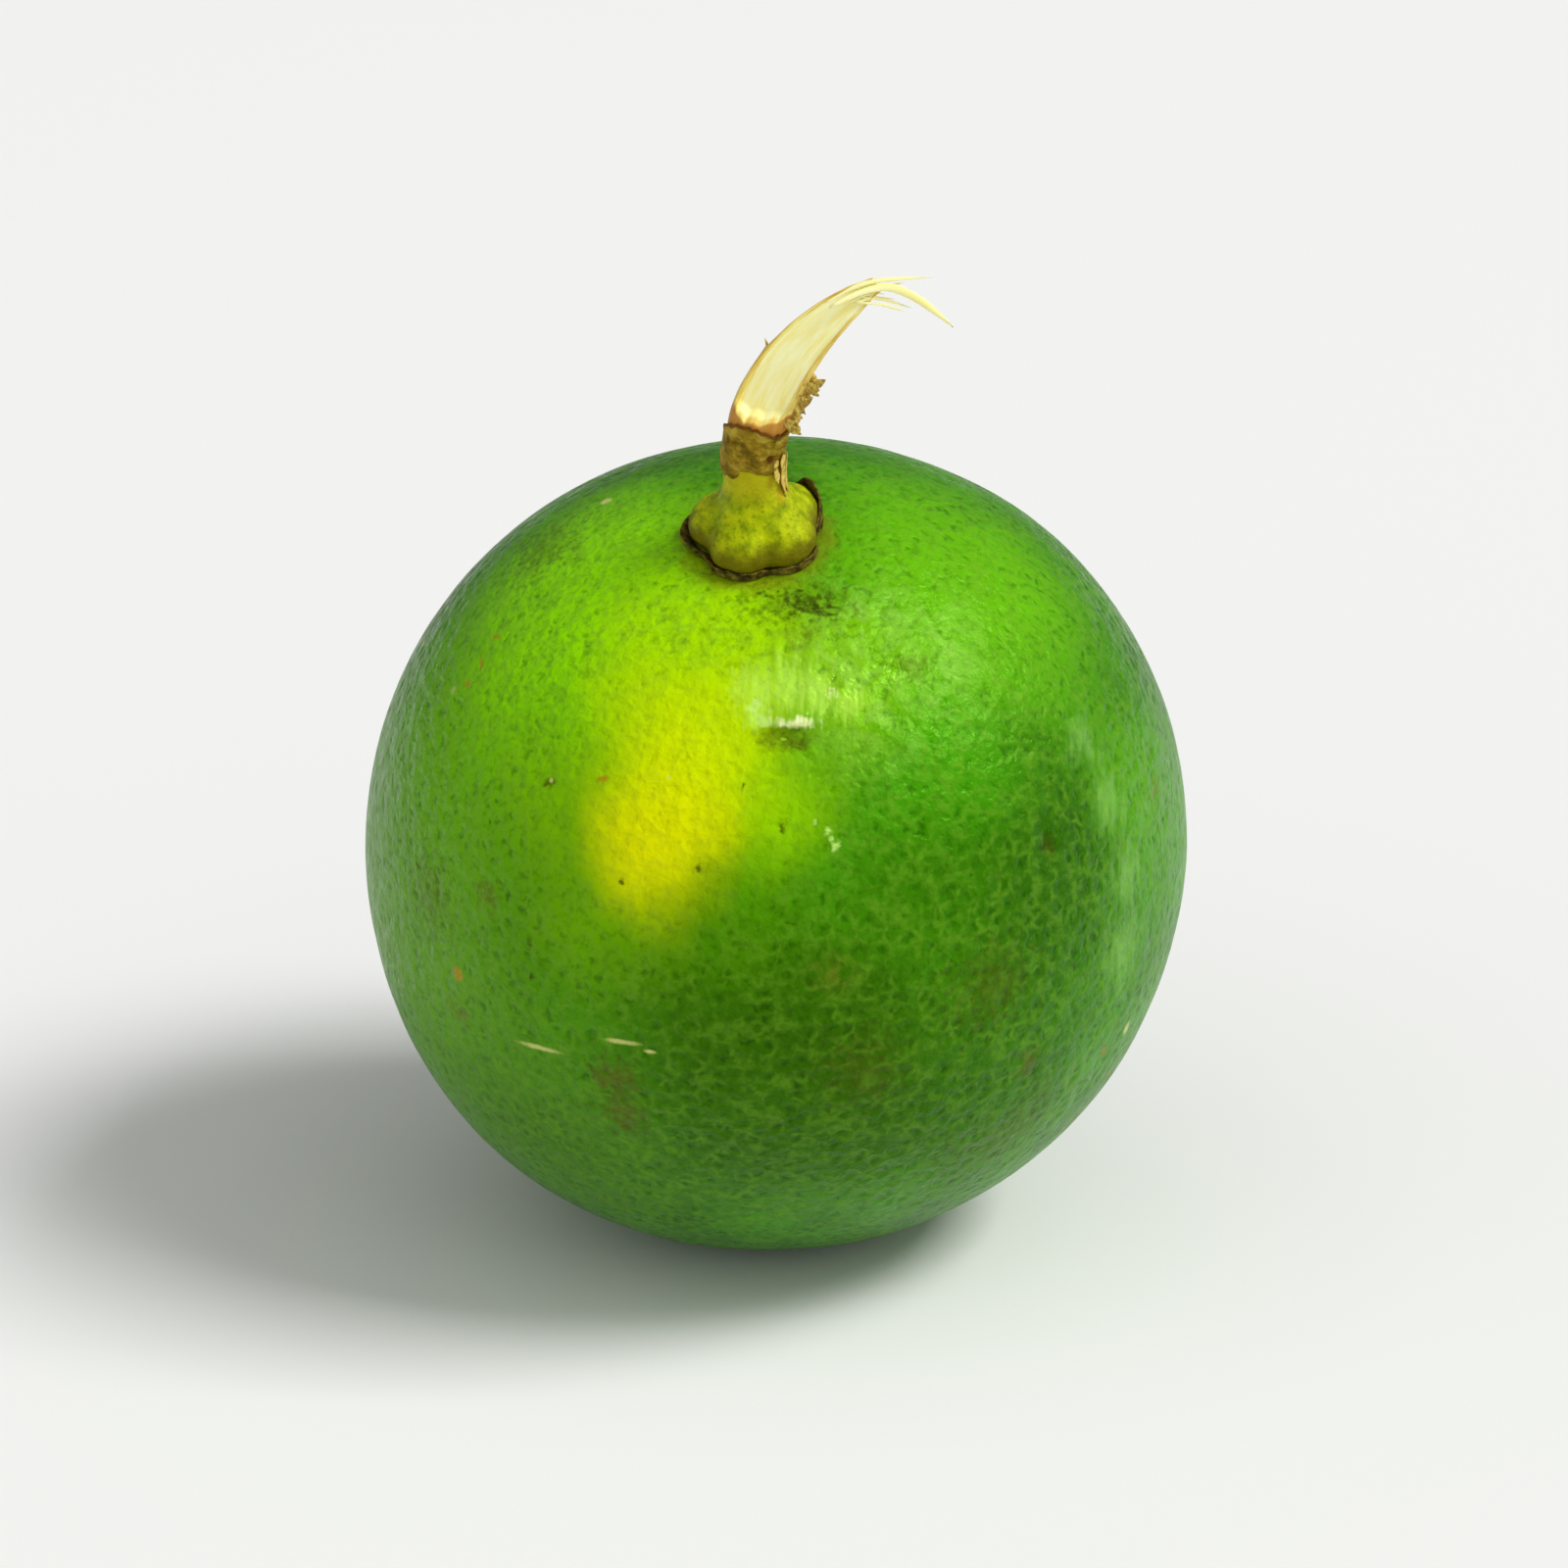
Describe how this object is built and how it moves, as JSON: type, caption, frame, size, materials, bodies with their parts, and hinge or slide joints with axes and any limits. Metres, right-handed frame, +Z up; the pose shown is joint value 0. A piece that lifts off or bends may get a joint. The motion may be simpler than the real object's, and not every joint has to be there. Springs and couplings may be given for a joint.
{
  "type": "lime",
  "caption": "Whole green lime resting on a small flat spot, with its lobed calyx and a short torn stem, as loose fruit for a bowl, board or table.",
  "frame": {"origin": "centre of the flat spot that the fruit rests on", "axes": "+Z up from the surface it rests on, through the middle of the fruit; the stem end leans towards -Y"},
  "size_m": [0.0452, 0.045, 0.0563],
  "materials": {
    "rind": "satin",
    "calyx": "matte",
    "bark": "matte",
    "bare_wood": "matte"
  },
  "bodies": {
    "root": {"fruit": "rind", "calyx": "calyx", "stem_bark": "bark", "stem_wood": "bare_wood"}
  },
  "joints": []
}
